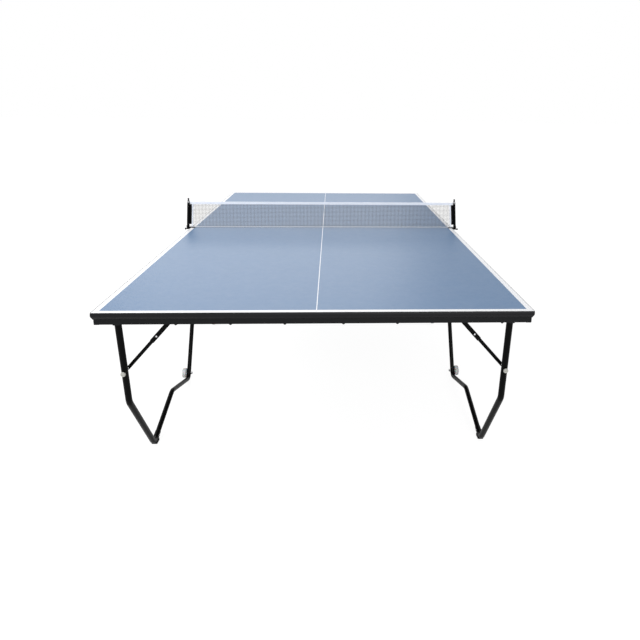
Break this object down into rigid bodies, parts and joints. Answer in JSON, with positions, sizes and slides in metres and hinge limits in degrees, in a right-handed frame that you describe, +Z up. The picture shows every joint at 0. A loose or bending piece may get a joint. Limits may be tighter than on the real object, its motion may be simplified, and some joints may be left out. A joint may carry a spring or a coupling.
{
  "type": "ping pong table",
  "caption": "Table-tennis table in two halves with a clamped net, on black folding tube leg frames with knee braces and wheels.",
  "frame": {"origin": "on the floor, under the middle of the net", "axes": "+Z up, +Y along the table from the near half to the far half, +X to the right along the net"},
  "size_m": [1.5976, 2.7476, 0.9325],
  "materials": {
    "board_paint": "satin blue lacquer on a wood-fibre board",
    "edge_band": "satin black moulded edge",
    "frame_steel": "satin black powder coat",
    "tube_steel": "satin black powder coat",
    "post_steel": "satin black powder coat",
    "foot_rubber": "matte",
    "wheel_plastic": "milky grey",
    "bright_steel": "zinc plated",
    "knob_plastic": "pale grey",
    "net_mesh": "fine knotted mesh",
    "white_tape": "woven white tape"
  },
  "bodies": {
    "near_half": {"board_near": "board_paint", "edge_band_near": "edge_band", "end_rail_near": "frame_steel", "net_rail_near": "frame_steel", "side_rail_near_left": "frame_steel", "side_rail_near_right": "frame_steel", "hinge_bracket_outer_near_left": "frame_steel", "hinge_bracket_outer_near_right": "frame_steel", "hinge_bracket_inner_near_left": "frame_steel", "hinge_bracket_inner_near_right": "frame_steel", "net_post_left": "post_steel", "net_post_right": "post_steel", "net": "net_mesh", "net_top_tape": "white_tape"},
    "far_half": {"board_far": "board_paint", "edge_band_far": "edge_band", "end_rail_far": "frame_steel", "net_rail_far": "frame_steel", "side_rail_far_left": "frame_steel", "side_rail_far_right": "frame_steel", "hinge_bracket_outer_far_left": "frame_steel", "hinge_bracket_outer_far_right": "frame_steel", "hinge_bracket_inner_far_left": "frame_steel", "hinge_bracket_inner_far_right": "frame_steel"},
    "leg_near_left": {"leg_tube_outer_near_left": "tube_steel", "leg_tube_inner_near_left": "tube_steel", "foot_pad_near_left": "foot_rubber", "wheel_axle_near_left": "bright_steel", "brace_knob_near_left": "knob_plastic"},
    "roller_near_left": {"wheel_near_left": "wheel_plastic"},
    "upper_link_near_left": {"brace_upper_near_left": "tube_steel"},
    "lower_link_near_left": {"brace_lower_near_left": "tube_steel"},
    "leg_near_right": {"leg_tube_outer_near_right": "tube_steel", "leg_tube_inner_near_right": "tube_steel", "foot_pad_near_right": "foot_rubber", "wheel_axle_near_right": "bright_steel", "brace_knob_near_right": "knob_plastic"},
    "roller_near_right": {"wheel_near_right": "wheel_plastic"},
    "upper_link_near_right": {"brace_upper_near_right": "tube_steel"},
    "lower_link_near_right": {"brace_lower_near_right": "tube_steel"},
    "leg_far_left": {"leg_tube_outer_far_left": "tube_steel", "leg_tube_inner_far_left": "tube_steel", "foot_pad_far_left": "foot_rubber", "wheel_axle_far_left": "bright_steel", "brace_knob_far_left": "knob_plastic"},
    "roller_far_left": {"wheel_far_left": "wheel_plastic"},
    "upper_link_far_left": {"brace_upper_far_left": "tube_steel"},
    "lower_link_far_left": {"brace_lower_far_left": "tube_steel"},
    "leg_far_right": {"leg_tube_outer_far_right": "tube_steel", "leg_tube_inner_far_right": "tube_steel", "foot_pad_far_right": "foot_rubber", "wheel_axle_far_right": "bright_steel", "brace_knob_far_right": "knob_plastic"},
    "roller_far_right": {"wheel_far_right": "wheel_plastic"},
    "upper_link_far_right": {"brace_upper_far_right": "tube_steel"},
    "lower_link_far_right": {"brace_lower_far_right": "tube_steel"},
    "screw_left": {"clamp_screw_left": "bright_steel"},
    "latch_left": {"centre_latch_left": "bright_steel"},
    "screw_right": {"clamp_screw_right": "bright_steel"},
    "latch_right": {"centre_latch_right": "bright_steel"}
  },
  "joints": [
    {"name": "halves_part", "type": "slide", "parent": "near_half", "child": "far_half", "axis": [0, 1, 0], "range_m": [0, 0.3]},
    {"name": "leg_fold_near_left", "type": "hinge", "parent": "near_half", "child": "leg_near_left", "pos_m": [-0.7045, -1.2968, 0.7], "axis": [0, -1, 0], "range_deg": [0, 91.5]},
    {"name": "wheel_spin_near_left", "type": "hinge", "parent": "leg_near_left", "child": "roller_near_left", "pos_m": [-0.74612, -0.37627, 0.031], "axis": [1, 0, 0], "continuous": true},
    {"name": "brace_top_turn_near_left", "type": "hinge", "parent": "near_half", "child": "upper_link_near_left", "pos_m": [-0.523, -1.22501, 0.695], "axis": [0, -1, 0], "range_deg": [0, 2.89]},
    {"name": "brace_knee_near_left", "type": "hinge", "parent": "upper_link_near_left", "child": "lower_link_near_left", "pos_m": [-0.60812, -1.22501, 0.5998], "axis": [0, -1, 0], "range_deg": [0, 171.32]},
    {"name": "leg_fold_near_right", "type": "hinge", "parent": "near_half", "child": "leg_near_right", "pos_m": [0.7045, -1.2968, 0.7], "axis": [0, 1, 0], "range_deg": [0, 91.5]},
    {"name": "wheel_spin_near_right", "type": "hinge", "parent": "leg_near_right", "child": "roller_near_right", "pos_m": [0.74612, -0.37627, 0.031], "axis": [1, 0, 0], "continuous": true},
    {"name": "brace_top_turn_near_right", "type": "hinge", "parent": "near_half", "child": "upper_link_near_right", "pos_m": [0.523, -1.22501, 0.695], "axis": [0, 1, 0], "range_deg": [0, 2.89]},
    {"name": "brace_knee_near_right", "type": "hinge", "parent": "upper_link_near_right", "child": "lower_link_near_right", "pos_m": [0.60812, -1.22501, 0.5998], "axis": [0, 1, 0], "range_deg": [0, 171.32]},
    {"name": "leg_fold_far_left", "type": "hinge", "parent": "far_half", "child": "leg_far_left", "pos_m": [-0.7045, 1.2968, 0.7], "axis": [0, -1, 0], "range_deg": [0, 91.5]},
    {"name": "wheel_spin_far_left", "type": "hinge", "parent": "leg_far_left", "child": "roller_far_left", "pos_m": [-0.74612, 0.37627, 0.031], "axis": [1, 0, 0], "continuous": true},
    {"name": "brace_top_turn_far_left", "type": "hinge", "parent": "far_half", "child": "upper_link_far_left", "pos_m": [-0.523, 1.22501, 0.695], "axis": [0, -1, 0], "range_deg": [0, 2.89]},
    {"name": "brace_knee_far_left", "type": "hinge", "parent": "upper_link_far_left", "child": "lower_link_far_left", "pos_m": [-0.60812, 1.22501, 0.5998], "axis": [0, -1, 0], "range_deg": [0, 171.32]},
    {"name": "leg_fold_far_right", "type": "hinge", "parent": "far_half", "child": "leg_far_right", "pos_m": [0.7045, 1.2968, 0.7], "axis": [0, 1, 0], "range_deg": [0, 91.5]},
    {"name": "wheel_spin_far_right", "type": "hinge", "parent": "leg_far_right", "child": "roller_far_right", "pos_m": [0.74612, 0.37627, 0.031], "axis": [1, 0, 0], "continuous": true},
    {"name": "brace_top_turn_far_right", "type": "hinge", "parent": "far_half", "child": "upper_link_far_right", "pos_m": [0.523, 1.22501, 0.695], "axis": [0, 1, 0], "range_deg": [0, 2.89]},
    {"name": "brace_knee_far_right", "type": "hinge", "parent": "upper_link_far_right", "child": "lower_link_far_right", "pos_m": [0.60812, 1.22501, 0.5998], "axis": [0, 1, 0], "range_deg": [0, 171.32]},
    {"name": "clamp_screw_travel_left", "type": "slide", "parent": "near_half", "child": "screw_left", "axis": [0, 0, -1], "range_m": [0, 0.008]},
    {"name": "latch_slide_left", "type": "slide", "parent": "near_half", "child": "latch_left", "axis": [0, -1, 0], "range_m": [0, 0.022]},
    {"name": "clamp_screw_travel_right", "type": "slide", "parent": "near_half", "child": "screw_right", "axis": [0, 0, -1], "range_m": [0, 0.008]},
    {"name": "latch_slide_right", "type": "slide", "parent": "near_half", "child": "latch_right", "axis": [0, -1, 0], "range_m": [0, 0.022]}
  ],
  "couplings": [
    {"joint": "brace_top_turn_near_left", "follows": "leg_fold_near_left", "ratio": 0.03108},
    {"joint": "brace_knee_near_left", "follows": "leg_fold_near_left", "ratio": 1.8718},
    {"joint": "brace_top_turn_near_right", "follows": "leg_fold_near_right", "ratio": 0.03108},
    {"joint": "brace_knee_near_right", "follows": "leg_fold_near_right", "ratio": 1.8718},
    {"joint": "brace_top_turn_far_left", "follows": "leg_fold_far_left", "ratio": 0.03108},
    {"joint": "brace_knee_far_left", "follows": "leg_fold_far_left", "ratio": 1.8718},
    {"joint": "brace_top_turn_far_right", "follows": "leg_fold_far_right", "ratio": 0.03108},
    {"joint": "brace_knee_far_right", "follows": "leg_fold_far_right", "ratio": 1.8718}
  ]
}
